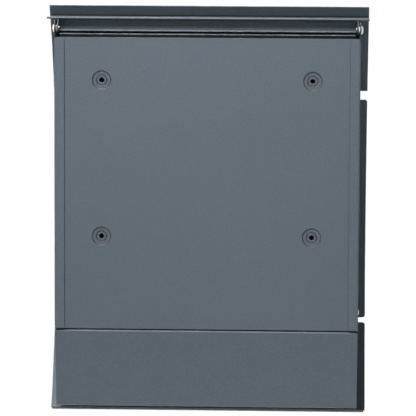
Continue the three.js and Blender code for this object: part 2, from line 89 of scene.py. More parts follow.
FLAP_PIVOT = Vector((0, -8 * MM, 129 * MM))
DOOR_PIVOT = Vector((0, -75 * MM, -163 * MM))
PIN_RADIUS = 2.0 * MM
PIN_PLAY = 0.2 * MM  # radial clearance of the pins in their ears and bushes
EAR_INNER = 148.9 * MM
EAR_OUTER = EAR_INNER + SHEET
EAR_RADIUS = 5 * MM

# how finely round shapes are divided
STEP_ANGLE = math.radians(1.0)  # along the bow
SMALL_STEP_ANGLE = math.radians(15)  # round a small bend
LONG_ARC = 20 * MM  # arcs longer than this are bows, not bends
ARC_STEP = math.radians(12)  # round the corners of a flat pattern
DISH_CIRCLE = 64  # divisions of the back panel's dishes
LOCK_CIRCLE = 72  # divisions of the lock's round parts
EDGE_ANGLES = (0, 30, 60, 90)  # degrees, over each rounding of a cut edge
SAME = 1e-7  # points closer than this are one point
HAIR = 1e-6  # tolerance of a length along the flat pattern


def centre(node):
    low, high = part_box(node)
    return (low + high) / 2


# ---------------------------------------------------------------- bend lines
def left_of(heading):
    return Vector((-math.sin(heading), math.cos(heading)))


class BendLine:
    """One face of a bent sheet seen along its bends: straight runs and arcs, measured by length.

    The sheet lies on the left of the line. The plane's two axes are set by the piece that uses it.
    """

    def __init__(self, start, heading):
        self.point = Vector(start)
        self.heading = heading
        self.runs = []
        self.length = 0.0

    def straight(self, length):
        self.runs.append((self.length, length, self.point, self.heading, 0.0))
        self.point = self.point + length * Vector((math.cos(self.heading), math.sin(self.heading)))
        self.length += length
        return self

    def bend(self, angle, radius):
        """Turns by an angle, positive to the left, round a radius."""
        curvature = math.copysign(1 / radius, angle)
        length = abs(angle) * radius
        self.runs.append((self.length, length, self.point, self.heading, curvature))
        self.length += length
        self.point, _ = self.at(self.length)
        self.heading += angle
        return self

    def at(self, v, run=None):
        """The point at length v and the sheet's direction there; run fixes which run is followed."""
        if run is None:
            run = next((i for i, r in enumerate(self.runs) if v <= r[0] + r[1]), -1)
        begin, _, start, heading, curvature = self.runs[run]
        along = v - begin
        if curvature == 0:
            point = start + along * Vector((math.cos(heading), math.sin(heading)))
            return point, left_of(heading)
        turned = heading + along * curvature
        point = start + (left_of(heading) - left_of(turned)) / curvature
        return point, left_of(turned)

    def cuts(self):
        """Lengths at which the flat pattern is divided, so that its arcs come out round."""
        places = []
        for begin, length, _, _, curvature in self.runs:
            turn = abs(curvature) * length
            steps = max(1, math.ceil(turn / (STEP_ANGLE if length > LONG_ARC else SMALL_STEP_ANGLE)))
            places += [begin + length * i / steps for i in range(steps + 1)]
        return sorted(p for p in set(places) if 0 < p < self.length)


def through(corners, thickness=SHEET):
    """A bend line through corner points, with a bend at each."""
    points = [Vector(c) for c in corners]
    ways = [(b - a).normalized() for a, b in zip(points, points[1:])]
    headings = [math.atan2(w.y, w.x) for w in ways]
    line = BendLine(points[0], headings[0])
    used = 0.0
    for i, way in enumerate(ways):
        run = (points[i + 1] - points[i]).length - used
        if i + 1 == len(ways):
            return line.straight(run)
        turn = (headings[i + 1] - headings[i] + math.pi) % (2 * math.pi) - math.pi
        radius = BEND + thickness if turn > 0 else BEND
        used = radius * math.tan(abs(turn) / 2)
        line.straight(run - used)
        line.bend(turn, radius)


# ---------------------------------------------------------------- flat patterns
def arc(middle, radius, start, end):
    """Points round a middle, between two angles in degrees."""
    a, b = math.radians(start), math.radians(end)
    count = max(1, math.ceil(abs(b - a) / ARC_STEP))
    angles = [a + (b - a) * i / count for i in range(count + 1)]
    return [(middle[0] + radius * math.cos(t), middle[1] + radius * math.sin(t)) for t in angles]


def rectangle(low, high, radius=0.0):
    """A rectangle, counter-clockwise, with one radius on its four corners."""
    if not radius:
        return [(low[0], low[1]), (high[0], low[1]), (high[0], high[1]), (low[0], high[1])]
    right, left = high[0] - radius, low[0] + radius
    top, bottom = high[1] - radius, low[1] + radius
    return (
        arc((right, bottom), radius, -90, 0)
        + arc((right, top), radius, 0, 90)
        + arc((left, top), radius, 90, 180)
        + arc((left, bottom), radius, 180, 270)
    )


def ring_points(middle, radius, count=48):
    """Points of a full circle, counter-clockwise."""
    turn = 2 * math.pi / count
    return [
        (middle[0] + radius * math.cos(i * turn), middle[1] + radius * math.sin(i * turn))
        for i in range(count)
    ]


def distinct(points):
    """The outline without repeated points."""
    return [p for i, p in enumerate(points) if (Vector(p) - Vector(points[i - 1])).length > SAME]


def inset(points, distance):
    """The outline moved inwards, for points that run counter-clockwise."""
    if not distance:
        return list(points)
    moved = []
    for i, here in enumerate(points):
        here = Vector(here)
        before = (here - Vector(points[i - 1])).normalized()
        after = (Vector(points[(i + 1) % len(points)]) - here).normalized()
        mitre = (before + after).normalized()
        normal = Vector((-mitre.y, mitre.x))
        reach = distance / max(0.3, normal.dot(Vector((-before.y, before.x))))
        moved.append(tuple(here + normal * reach))
    return moved


def rounded_edge(thickness, radius=EDGE):
    """(inset, height) steps over a cut edge, from the line's face to the other."""
    quarter = [math.radians(a) for a in EDGE_ANGLES]
    near = [(radius * (1 - math.sin(t)), radius * (1 - math.cos(t))) for t in quarter]
    return near + [(a, thickness - h) for a, h in reversed(near)]


class Pattern:
    """A flat pattern: an outline and holes, each with the section of its edge, and a strength of painted
    shade for its cut edges.
    """

    def __init__(self, outline, thickness, edge_shade=0.0, edge_radius=EDGE):
        self.thickness = thickness
        edge = rounded_edge(thickness, edge_radius)
        self.edge_shade = edge_shade
        outline = distinct(outline)
        self.loops = [[(inset(outline, a), h) for a, h in edge]]

    def cut_out(self, outline):
        edge = rounded_edge(self.thickness)
        self.loops.append([(inset(outline, -a), h) for a, h in edge])
        return self

    def hole(self, middle, radius):
        return self.cut_out(ring_points(middle, radius))

    def pressed(self, middle, section):
        """A pressed and pierced form: section holds (radius, height, painted shade) from one face to the
        other.
        """
        self.loops.append([(ring_points(middle, r, DISH_CIRCLE), h, *painted_shade) for r, h, *painted_shade in section])
        return self


def ring_of(bm, points, height):
    return [bm.verts.new((x, v, height)) for x, v in points]


def bridge(bm, lower, upper):
    count = len(lower)
    for i in range(count):
        j = (i + 1) % count
        bm.faces.new((lower[i], lower[j], upper[j], upper[i]))


def cap(bm, rings):
    """Fills the face of the pattern between its outline and its holes."""
    edges = []
    for verts in rings:
        edges += [bm.edges.get((a, b)) for a, b in zip(verts, verts[1:] + verts[:1])]
    bmesh.ops.triangle_fill(bm, edges=edges, use_beauty=True, use_dissolve=False)


def flat_blank(pattern, cuts):
    """The flat pattern as a closed mesh in (across, along, height), divided at the cuts."""
    bm = bmesh.new()
    rim = bm.verts.layers.float.new("rim")
    # per-vertex strength of painted shade, from 0 to 1, read by the powder coat
    crease_shade = bm.verts.layers.float.new("crease_shade")
    first, last = [], []
    for section in pattern.loops:
        is_cut_edge = len(section) == 2 * len(EDGE_ANGLES)
        rings = [ring_of(bm, points, height) for points, height, *_ in section]
        # the rings of a pressed section carry its painted shade
        for verts, (_, _, *painted_shade) in zip(rings, section):
            for vert in verts:
                vert[crease_shade] = painted_shade[0] if painted_shade else 0.0
        for lower, upper in zip(rings, rings[1:]):
            bridge(bm, lower, upper)
        # the inner rings of a cut edge are marked as rim for the rubbed wear and get the pattern's painted
        # edge shade
        if is_cut_edge:
            for verts in rings[1:-1]:
                for vert in verts:
                    vert[rim] = 1.0
                    vert[crease_shade] = pattern.edge_shade
        first.append(rings[0])
        last.append(rings[-1])
    cap(bm, first)
    cap(bm, last)
    for v in cuts:
        everything = bm.verts[:] + bm.edges[:] + bm.faces[:]
        bmesh.ops.bisect_plane(bm, geom=everything, dist=SAME, plane_co=(0, v, 0), plane_no=(0, 1, 0))
    return bm


ALONG_X = lambda across, point: (across, point.x, point.y)  # the bend line lies in (y, z)
ALONG_Z = lambda across, point: (point.x, point.y, across)  # the bend line lies in (x, y)


def bent(pattern, line, place=ALONG_X, unbent=None, mirror=False, shaded_fold=None):
    """Bends a flat pattern round its line.

    unbent(across, v) gives the run that loose ends follow. The last argument is a stretch of v whose fold
    gets painted shade.
    """
    # the painted shade fades out over this length on each side of its stretch
    shaded_fold_edge = 0.4 * MM
    low, high = shaded_fold or (math.inf, -math.inf)
    ends = [low - shaded_fold_edge, low, high, high + shaded_fold_edge] if shaded_fold else []
    bm = flat_blank(pattern, sorted(line.cuts() + ends))
    crease_shade = bm.verts.layers.float["crease_shade"]
    for vert in bm.verts:
        across, v, height = vert.co
        # painted shade inside the fold's stretch
        if low - HAIR < v < high + HAIR:
            vert[crease_shade] = 1.0
        run = unbent(across, v) if unbent else None
        point, normal = line.at(v, run)
        vert.co = place(across, point + normal * height)
        if mirror:
            vert.co.x = -vert.co.x
    return bm


# ---------------------------------------------------------------- turned pieces
def softened(profile, radius, steps=3):
    """A (radius, height) profile with its corners off the axis rounded."""
    points = [Vector(p) for p in profile]
    out = [tuple(points[0])]
    for before, here, after in zip(points, points[1:], points[2:]):
        room = min((here - before).length, (after - here).length) / 2.2  # less than half of a side
        cut = min(radius, room)
        a = here + (before - here).normalized() * cut
        b = here + (after - here).normalized() * cut
        for i in range(steps + 1):
            t = i / steps
            out.append(tuple((1 - t) ** 2 * a + 2 * t * (1 - t) * here + t * t * b))
    return out + [tuple(points[-1])]


def turned(profile, axis, at, segments=56):
    """A profile of (radius, height) points turned round an axis, from axis to axis or closed."""
    bm = bmesh.new()
    rings = []
    for radius, height in profile:
        if radius < SAME:
            rings.append([bm.verts.new((0, 0, height))])
            continue
        angles = [2 * math.pi * i / segments for i in range(segments)]
        rings.append([bm.verts.new((radius * math.cos(a), radius * math.sin(a), height)) for a in angles])
    closed = len(rings[0]) > 1
    for lower, upper in zip(rings, rings[1:] + (rings[:1] if closed else [])):
        for i in range(segments):
            j = (i + 1) % segments
            if len(lower) == 1:
                bm.faces.new((lower[0], upper[j], upper[i]))
            elif len(upper) == 1:
                bm.faces.new((lower[i], lower[j], upper[0]))
            else:
                bm.faces.new((lower[i], lower[j], upper[j], upper[i]))
    turn = Vector((0, 0, 1)).rotation_difference(Vector(axis)).to_matrix().to_4x4()
    bmesh.ops.transform(bm, matrix=Matrix.Translation(Vector(at)) @ turn, verts=bm.verts)
    return bm


def turned_from_wall(profile, side, pivot):
    """The same, round the X axis on one side: heights run outwards from the side panel's face."""
    return turned(profile, (side, 0, 0), (side * HALF_CASE, pivot.y, pivot.z))


# ---------------------------------------------------------------- materials
class Nodes:
    """A material's node tree, with short calls to add and join its nodes."""

    def __init__(self, name):
        self.material = bpy.data.materials.new(name)
        self.material.use_nodes = True
        self.tree = self.material.node_tree
        self.shader = self.tree.nodes["Principled BSDF"]
        self.place = self.add("ShaderNodeTexCoord").outputs["Object"]

    def add(self, kind, **values):
        node = self.tree.nodes.new(kind)
        for name, value in values.items():
            setattr(node, name, value)
        return node

    def join(self, output, target):
        self.tree.links.new(output, target)

    def noise(self, scale, detail=2.0, roughness=0.5, stretch=None):
        """Noise with about scale features per metre; stretch crowds them along each axis."""
        node = self.add("ShaderNodeTexNoise")
        node.inputs["Scale"].default_value = scale
        node.inputs["Detail"].default_value = detail
        node.inputs["Roughness"].default_value = roughness
        place = self.place
        if stretch:
            mapping = self.add("ShaderNodeMapping")
            mapping.inputs["Scale"].default_value = stretch
            self.join(place, mapping.inputs["Vector"])
            place = mapping.outputs["Vector"]
        self.join(place, node.inputs["Vector"])
        return node.outputs["Fac"]

    def remap(self, value, low, high, to_low, to_high):
        """The range from low to high, spread over the range from to_low to to_high."""
        node = self.add("ShaderNodeMapRange")
        for name, number in (
            ("From Min", low),
            ("From Max", high),
            ("To Min", to_low),
            ("To Max", to_high),
        ):
            node.inputs[name].default_value = number
        self.join(value, node.inputs["Value"])
        return node.outputs["Result"]

    def product(self, a, b):
        node = self.add("ShaderNodeMath", operation="MULTIPLY")
        self.join(a, node.inputs[0])
        self.join(b, node.inputs[1])
        return node.outputs["Value"]

    def mixed(self, factor, first, second):
        """first and second are colours or outputs."""
        node = self.add("ShaderNodeMix", data_type="RGBA")
        self.join(factor, node.inputs["Factor"])
        for value, target in ((first, node.inputs[6]), (second, node.inputs[7])):
            if isinstance(value, tuple):
                target.default_value = (*value, 1)
            else:
                self.join(value, target)
        return node.outputs[2]

    def bump(self, height, distance, before=None):
        node = self.add("ShaderNodeBump")
        node.inputs["Strength"].default_value = 1.0
        node.inputs["Distance"].default_value = distance
        self.join(height, node.inputs["Height"])
        if before:
            self.join(before, node.inputs["Normal"])
        return node.outputs["Normal"]

    def set(self, **values):
        for name, value in values.items():
            self.shader.inputs[name.replace("_", " ")].default_value = value


def shade(colour, factor):
    return tuple(c * factor for c in colour)


COAT_COLOUR = (0.033, 0.0438, 0.055)
COAT_WORN = (0.21, 0.225, 0.235)


def powder_coat():
    """Fine-textured matte powder coat: grain, orange peel, faint clouding, rubbed edges and painted shade
    in creases.
    """
    n = Nodes("powder_coat")
    grain = n.noise(1100, 3, 0.62)
    peel = n.noise(230, 1)
    cloud = n.noise(11, 4, 0.6)
    speck = n.noise(620, 3, 0.7)
    fleck = n.noise(1500, 2)
    clouded = n.mixed(n.remap(cloud, 0.3, 0.7, 0, 1), shade(COAT_COLOUR, 0.95), shade(COAT_COLOUR, 1.05))
    mottled = n.mixed(n.remap(speck, 0.34, 0.66, 0, 0.8), clouded, shade(COAT_COLOUR, 1.5))
    specked = n.mixed(n.remap(fleck, 0.56, 0.74, 0, 0.5), mottled, shade(COAT_COLOUR, 1.9))
    rim = n.add("ShaderNodeAttribute", attribute_name="rim").outputs["Fac"]
    rubbed = n.product(rim, n.remap(n.noise(160, 4, 0.7), 0.46, 0.66, 0.05, 0.55))
    # painted shade: where the crease attribute is set, the coat is darkened to a third to stand in for the
    # shade in creases, folds and gaps
    crease_shade = n.add("ShaderNodeAttribute", attribute_name="crease_shade").outputs["Fac"]
    worn = n.mixed(rubbed, specked, COAT_WORN)
    n.join(n.mixed(crease_shade, worn, shade(COAT_COLOUR, 0.3)), n.shader.inputs["Base Color"])
    n.join(n.remap(n.noise(60, 3), 0.3, 0.7, 0.52, 0.64), n.shader.inputs["Roughness"])
    rough = n.bump(peel, 0.00005)
    n.join(n.bump(grain, 0.00005, rough), n.shader.inputs["Normal"])
    n.set(Specular_IOR_Level=0.4)
    return n.material


def nylon():
    """Natural nylon, slightly cloudy."""
    n = Nodes("nylon")
    cloud = n.remap(n.noise(420, 3), 0.3, 0.7, 0, 1)
    n.join(n.mixed(cloud, (0.60, 0.585, 0.55), (0.70, 0.69, 0.655)), n.shader.inputs["Base Color"])
    n.join(n.remap(n.noise(900, 2), 0.3, 0.7, 0.34, 0.5), n.shader.inputs["Roughness"])
    n.join(n.bump(n.noise(1400, 2), 0.00001), n.shader.inputs["Normal"])
    return n.material


def rubber():
    """Matte black rubber with a dusty bloom."""
    n = Nodes("rubber")
    bloom = n.remap(n.noise(300, 4), 0.45, 0.75, 0, 0.6)
    n.join(n.mixed(bloom, (0.018, 0.018, 0.02), (0.05, 0.05, 0.052)), n.shader.inputs["Base Color"])
    n.join(n.remap(n.noise(700, 2), 0.3, 0.7, 0.72, 0.88), n.shader.inputs["Roughness"])
    n.join(n.bump(n.noise(1800, 2), 0.00003), n.shader.inputs["Normal"])
    return n.material


def zinc_steel():
    """Bright zinc plate: cool, mottled, with faint turning marks."""
    n = Nodes("zinc_steel")
    mottle = n.remap(n.noise(240, 4, 0.6), 0.3, 0.7, 0, 1)
    n.join(n.mixed(mottle, (0.13, 0.135, 0.145), (0.24, 0.245, 0.25)), n.shader.inputs["Base Color"])
    n.join(n.remap(n.noise(500, 3), 0.3, 0.7, 0.26, 0.46), n.shader.inputs["Roughness"])
    n.join(n.bump(n.noise(1100, 2, stretch=(6, 1, 1)), 0.000008), n.shader.inputs["Normal"])
    n.set(Metallic=1.0)
    return n.material


def chrome():
    """Satin nickel-chrome with hairline scratches."""
    n = Nodes("chrome")
    haze = n.remap(n.noise(90, 3), 0.35, 0.7, 0, 1)
    n.join(n.mixed(haze, (0.36, 0.37, 0.39), (0.46, 0.47, 0.49)), n.shader.inputs["Base Color"])
    n.join(n.remap(n.noise(600, 3, stretch=(1, 1, 9)), 0.35, 0.7, 0.2, 0.34), n.shader.inputs["Roughness"])
    n.join(n.bump(n.noise(800, 2, stretch=(1, 1, 14)), 0.000005), n.shader.inputs["Normal"])
    n.set(Metallic=1.0)
    return n.material


MATERIALS = {
    "powder_coat": powder_coat(),
    "nylon": nylon(),
    "rubber": rubber(),
    "zinc_steel": zinc_steel(),
    "chrome": chrome(),
}
SLOT_OF = {s["node"]: s["material_slot"] for s in frame["record"]["subparts"]}
BODY_OF = {n: body for body, nodes in frame["record"]["behaviour"]["bodies"].items() for n in nodes}


def make(node, *parts):
    """Makes the piece that stands for a CAD node, from one or more closed shells."""
    mesh = bpy.data.meshes.new(node + "_looks")
    whole = bmesh.new()
    for part in parts:
        bmesh.ops.remove_doubles(part, verts=part.verts, dist=SAME)
        bmesh.ops.recalc_face_normals(part, faces=part.faces)
        shell = bpy.data.meshes.new("shell")
        part.to_mesh(shell)
        part.free()
        whole.from_mesh(shell)
        bpy.data.meshes.remove(shell)
    for face in whole.faces:
        face.smooth = True
    whole.to_mesh(mesh)
    whole.free()
    piece = bpy.data.objects.new(node + "_looks", mesh)
    bpy.context.scene.collection.objects.link(piece)
    weighted = piece.modifiers.new("weighted", "WEIGHTED_NORMAL")
    weighted.keep_sharp = False
    mesh.materials.append(MATERIALS[SLOT_OF[node]])
    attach(piece, BODY_OF[node])
    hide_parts(node)


# ---------------------------------------------------------------- case: back panel
SEAT_BESIDE = 3.7 * MM  # from a wall screw's axis to its seat in the record
DISH_SECTION = [  # (radius, height, painted shade) over the pressed dish and its hole, from the rear face; radius and height in mm, the shade from 0 to 1 darkens the dish's creases and bore where shade falls
    (10.1, 0), (9.7, 0.03, 0.4), (9.35, 0.16, 0.9), (9.05, 0.42, 1), (8.8, 0.68, 0.9), (8.5, 0.85, 0.6),
    (8.1, 0.9), (5.75, 0.9, 0.2), (5.5, 0.98, 0.7), (5.3, 1.25, 1), (5.12, 1.52, 1), (4.95, 1.55, 1),
    (4.78, 1.4, 1), (4.6, 1.24, 0.7), (4.4, 1.2, 0.2), (2.75, 1.2), (2.54, 1.28, 0.5), (2.45, 1.45, 1),
    (2.45, 1.95, 1), (2.54, 2.12), (2.75, 2.2), (5.2, 2.2), (5.6, 2.15), (5.9, 1.98), (6.3, 1.9),
    (8.3, 1.9), (8.8, 1.8), (9.3, 1.42), (9.7, 1.12), (10.1, 1.02), (10.5, 1.0),
]  # fmt: skip


def screw_places():
    """The four wall screw holes, from the record's screw seats, which lie beside them."""
    seats = [m for m in frame["record"]["mounts"] if "screw_seat" in m["name"]]
    return [(m["pos_m"][0] - SEAT_BESIDE, m["pos_m"][2]) for m in seats]


def back_panel():
    low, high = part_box("back_panel")
    pattern = Pattern(rectangle((low.x, 0), (high.x, high.z - low.z)), SHEET)
    for x, z in screw_places():
        pattern.pressed((x, z - low.z), [(r * MM, h * MM, *painted_shade) for r, h, *painted_shade in DISH_SECTION])
    line = BendLine((0, low.z), math.pi / 2).straight(high.z - low.z)
    make("back_panel", bent(pattern, line))


# ---------------------------------------------------------------- case: side panels
FLANGE_INNER = 142 * MM
FLANGE_TOP = 119.3 * MM
FLANGE_CORNER = 3 * MM
WALL_CLEARANCE = 0.8 * MM  # side panel edge to the front plates
WALL_CHAMFER = 3 * MM
RELIEF = {"inner": 5.9 * MM, "outer": 9.9 * MM, "from": 209, "to": 335}  # slot round the door pivot
RAW_EDGE = 0.34 * MM  # rounding of the side panels' cut edges
FLAP_BUSH_HOLE = 3.5 * MM
DOOR_BUSH_HOLE = 3.0 * MM


def bow_y(z, radius):
    """The y of the bow of this radius at height z."""
    return BOW_AXIS_Y - math.sqrt(radius**2 - (z - BOW_HEIGHT) ** 2)


def bow_lean(z, radius):
    """Angle of the bow at height z: positive above its foremost point."""
    return math.asin((z - BOW_HEIGHT) / radius)


def side_panel(side, name):
    low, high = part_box(name + "_side_panel")
    flange_y = high.y - SHEET
    line = through([(FLANGE_INNER, flange_y), (WALL_INNER, flange_y), (WALL_INNER, low.y)])
    wall = line.runs[-1]
    ahead = lambda y: wall[0] + wall[2].y - y  # length along the pattern at which the wall passes y
    raw = ahead(high.y)  # the wall's rear edge above the flange
    radius = BOW_INNER - WALL_CLEARANCE
    pivot, relief = DOOR_PIVOT, RELIEF
    slot = lambda r, a, b: [(z, ahead(y)) for y, z in arc((pivot.y, pivot.z), r, a, b)]
    floor_angle = 360 + math.degrees(math.asin((low.z - pivot.z) / relief["outer"]))
    entry = pivot.z + relief["inner"] * math.sin(math.radians(relief["from"]))
    top_lean, low_lean = bow_lean(high.z, radius), bow_lean(entry, radius)
    front = []
    count = math.ceil((top_lean - low_lean) / STEP_ANGLE)
    for i in range(count):
        z = BOW_HEIGHT + radius * math.sin(top_lean + (low_lean - top_lean) * i / count)
        front.append((z, ahead(bow_y(z, radius))))
    corner = FLANGE_CORNER
    outline = (
        arc((low.z + corner, corner), corner, 180, 270)
        + arc((FLANGE_TOP - corner, corner), corner, 270, 360)
        + [(FLANGE_TOP, wall[0] + EDGE), (FLANGE_TOP + RELIEF_SLIT, wall[0] + EDGE)]
        + [(FLANGE_TOP + RELIEF_SLIT, raw), (high.z - WALL_CHAMFER, raw), (high.z, raw + WALL_CHAMFER)]
        + front
        + slot(relief["inner"], relief["from"], relief["to"])
        + slot(relief["outer"], relief["to"], floor_angle)
    )
    # painted shade: every cut edge of a side panel is darkened, standing in for the shadow line along the
    # flange and its gaps
    pattern = Pattern(outline, SHEET, edge_shade=1.0, edge_radius=RAW_EDGE)
    pattern.hole((FLAP_PIVOT.z, ahead(FLAP_PIVOT.y)), FLAP_BUSH_HOLE)
    pattern.hole((pivot.z, ahead(pivot.y)), DOOR_BUSH_HOLE)
    loose = lambda z, v: 2 if v < wall[0] and z > FLANGE_TOP + RELIEF_SLIT / 2 else None
    make(name + "_side_panel", bent(pattern, line, ALONG_Z, loose, mirror=side < 0))


# ---------------------------------------------------------------- case: rails and floor
SCREW_X = 110 * MM
SCREW_DEPTHS = (13 * MM, 40 * MM)
SCREW_HOLE = 2.4 * MM


def strip(line, low_x, high_x, thickness=SHEET, radius=0.0):
    """A rectangular flat pattern as long as its bend line."""
    return Pattern(rectangle((low_x, 0), (high_x, line.length), radius), thickness)


def along(line, run, y):
    """Length on a level run at which it passes y."""
    begin, _, start, heading, _ = line.runs[run]
    return begin + (y - start.x) * math.cos(heading)


def drill(pattern, line, run):
    """The four holes for the holder's screws."""
    for x in (-SCREW_X, SCREW_X):
        for depth in SCREW_DEPTHS:
            pattern.hole((x, along(line, run, -depth)), SCREW_HOLE)


def rear_rail():
    low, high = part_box("rear_rail")
    lip_y, step = -3.6 * MM, 106 * MM
    line = through(
        [
            (lip_y, high.z),
            (low.y, high.z),
            (low.y, step),
            (high.y - SHEET, step),
            (high.y - SHEET, low.z),
        ]
    )
    make("rear_rail", bent(strip(line, low.x, high.x), line))


def front_cross_rail():
    low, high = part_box("front_cross_rail")
    lip_y, lip_top = -64 * MM, 50 * MM
    line = through(
        [
            (high.y, high.z),
            (low.y + SHEET, high.z),
            (low.y + SHEET, lip_top),
            (lip_y, lip_top),
            (lip_y, low.z),
        ]
    )
    make("front_cross_rail", bent(strip(line, low.x, high.x), line))


def case_floor():
    low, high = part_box("case_floor")
    front_top = high.z - 5 * MM  # the front upstand is lower than the rear one
    line = through([(low.y, front_top), (low.y, low.z), (high.y, low.z), (high.y, high.z)])
    pattern = strip(line, low.x, high.x)
    drill(pattern, line, 2)
    make("case_floor", bent(pattern, line))


# ---------------------------------------------------------------- case: small fittings
BUSH_RIM = 0.7 * MM  # straight rim under the dome, from the side panel's face
BUSH_LIP = 0.6 * MM  # snap lip behind the side panel
BUSH_FLOOR = 0.8 * MM  # where the blind bore ends, out from the side panel's face
FLAP_BUSH = {"head": 4.1 * MM, "barrel": 3.2 * MM, "dome": 1.7 * MM}
DOOR_BUSH = {"head": 3.4 * MM, "barrel": 2.7 * MM, "dome": 1.9 * MM}
BUSH_ROUNDING = 0.12 * MM
PIN_ROUNDING = 0.5 * MM
BUMPER_ROUNDING = 0.7 * MM
SCREW = {"shank": 2.0 * MM, "head": 2.4 * MM, "rim": 0.8 * MM, "dome": 1.6 * MM, "chamfer": 0.3 * MM}
NUT_BORE = 2.2 * MM


def mirrored(name):
    """The sign of x on the named side."""
    return 1 if name == "right" else -1


def bush(node, name, pivot, head, barrel, dome):
    """Blind nylon bush: a domed head outside, a snap lip behind the side panel."""
    inside = -SHEET - GAP
    bore = PIN_RADIUS + PIN_PLAY
    body = [
        (0, BUSH_FLOOR),
        (bore, BUSH_FLOOR),
        (bore, inside - BUSH_LIP),
        (barrel + BUSH_LIP / 3, inside - BUSH_LIP),
        (barrel + BUSH_LIP, inside),
        (barrel, inside),
        (barrel, GAP),
        (head, GAP),
        (head, BUSH_RIM),
    ]
    steps = [math.radians(a) for a in range(8, 90, 8)]
    cap_points = [(head * math.cos(t), BUSH_RIM + dome * math.sin(t)) for t in steps]
    profile = softened(body, BUSH_ROUNDING) + cap_points + [(0, BUSH_RIM + dome)]
    make(node, turned_from_wall(profile, mirrored(name), pivot))


def hinge_pin(node, name, pivot):
    """Steel pin riveted into an ear: the head inside, the end in the bush."""
    low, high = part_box(node)
    face = EAR_INNER - GAP
    end = max(high.x, -low.x)
    start = min(abs(high.x), abs(low.x))
    head = (high.z - low.z) / 2
    profile = [(0, start), (head, start), (head, face), (PIN_RADIUS, face), (PIN_RADIUS, end), (0, end)]
    side = mirrored(name)
    make(node, turned(softened(profile, PIN_ROUNDING, 4), (side, 0, 0), (0, pivot.y, pivot.z)))


def bumper(name):
    """Rubber stop for the flap, on the front cross rail."""
    node = name + "_flap_bumper"
    low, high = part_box(node)
    radius = (high.z - low.z) / 2
    profile = [(0, -high.y), (radius, -high.y), (radius, -low.y), (0, -low.y)]
    middle = centre(node)
    make(node, turned(softened(profile, BUMPER_ROUNDING, 4), (0, -1, 0), (middle.x, 0, middle.z)))


def holder_screw(node):
    """Dome-headed machine screw."""
    low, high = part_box(node)
    middle = centre(node)
    head, shank, chamfer = (high.x - low.x) / 2, SCREW["shank"], SCREW["chamfer"]
    under = high.z - SCREW["head"]
    shaft = [
        (0, low.z),
        (shank - chamfer, low.z),
        (shank, low.z + chamfer),
        (shank, under),
        (head, under),
    ]
    angles = [math.radians(a) for a in range(0, 90, 10)]
    dome = [(head * math.cos(a), under + SCREW["rim"] + SCREW["dome"] * math.sin(a)) for a in angles]
    make(node, turned(shaft + dome + [(0, high.z)], (0, 0, 1), (middle.x, middle.y, 0)))


def hexagon(corner):
    return ring_points((0, 0), corner, 6)


def nut_blank(corner, bore, height):
    return flat_blank(Pattern(hexagon(corner), height).hole((0, 0), bore), [])


def holder_nut(node):
    low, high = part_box(node)
    middle = centre(node)
    corner = max(high.x - low.x, high.y - low.y) / 2
    bm = nut_blank(corner, NUT_BORE, high.z - low.z)
    place = Matrix.Translation((middle.x, middle.y, low.z)) @ Matrix.Rotation(math.pi / 2, 4, "Z")
    bmesh.ops.transform(bm, matrix=place, verts=bm.verts)
    make(node, bm)


# ---------------------------------------------------------------- the bowed front plates
def bow_line(bottom, top, behind=None):
    """The inner face of a bowed plate, from a fold behind its lower edge, if any, up to its top edge."""
    lean_top = bow_lean(top, BOW_RADIUS)
    if behind is None:
        lean = bow_lean(bottom, BOW_RADIUS)
        start = (BOW_AXIS_Y - BOW_INNER * math.cos(lean), BOW_HEIGHT + BOW_INNER * math.sin(lean))
        line = BendLine(start, math.pi / 2 - lean)
    else:
        level = behind[-1][1]
        rise = level + BEND - BOW_HEIGHT
        lean = math.asin(rise / (BOW_INNER - BEND))
        tangent_y = BOW_AXIS_Y - (BOW_INNER - BEND) * math.cos(lean)
        line = through(behind + [(tangent_y, level)], FRONT_SHEET)
        line.bend(-(math.pi / 2 + lean), BEND)
    return line.bend(lean - lean_top, BOW_INNER), lean


def folded_plate(bottom, top, behind, half_fold):
    """A bowed plate whose lower edge is folded back between two relief slits; its corners are round."""
    line, lean = bow_line(bottom, top, behind)
    bow = len(line.runs) - 1
    begin = line.runs[bow][0]
    raw = begin - BOW_INNER * (lean - bow_lean(bottom, BOW_RADIUS))  # the lower edge beside the fold
    slit_end = begin + EDGE
    outside = half_fold + RELIEF_SLIT
    corner = min(CORNER, HALF_FRONT - outside)
    right, high, low = HALF_FRONT - corner, line.length - CORNER, raw + corner
    top_right = HALF_FRONT - CORNER
    outline = (
        [(-half_fold, 0), (half_fold, 0), (half_fold, slit_end), (outside, slit_end), (outside, raw)]
        + arc((right, low), corner, -90, 0)
        + arc((top_right, high), CORNER, 0, 90)
        + arc((-top_right, high), CORNER, 90, 180)
        + arc((-right, low), corner, 180, 270)
        + [(-outside, raw), (-outside, slit_end), (-half_fold, slit_end)]
    )
    loose = lambda x, v: bow if v < begin and abs(x) > half_fold + RELIEF_SLIT / 2 else None
    return Pattern(outline, FRONT_SHEET), line, loose


def flap_plate():
    low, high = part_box("flap_plate")
    edge_rise = 0.5 * MM  # keeps the slanted lower edge inside the CAD's box
    corner = 0.5 * MM
    line, _ = bow_line(low.z + edge_rise, high.z)
    pattern = strip(line, low.x, high.x, FRONT_SHEET, corner)
    make("flap_plate", bent(pattern, line))


LOCK_Z = 33 * MM
LOCK_LEAN = bow_lean(LOCK_Z, BOW_RADIUS)
LOCK_HOLE = 9.6 * MM


def door_plate():
    low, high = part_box("door_plate")
    return_y = -62 * MM
    behind = [(return_y, low.z + FRONT_SHEET)]
    pattern, line, loose = folded_plate(DOOR_BOTTOM, high.z, behind, EAR_INNER - SHEET)
    begin, _, _, heading, _ = line.runs[-1]
    pattern.hole((0, begin + BOW_INNER * (LOCK_LEAN - (math.pi / 2 - heading))), LOCK_HOLE)
    make("door_plate", bent(pattern, line, unbent=loose))


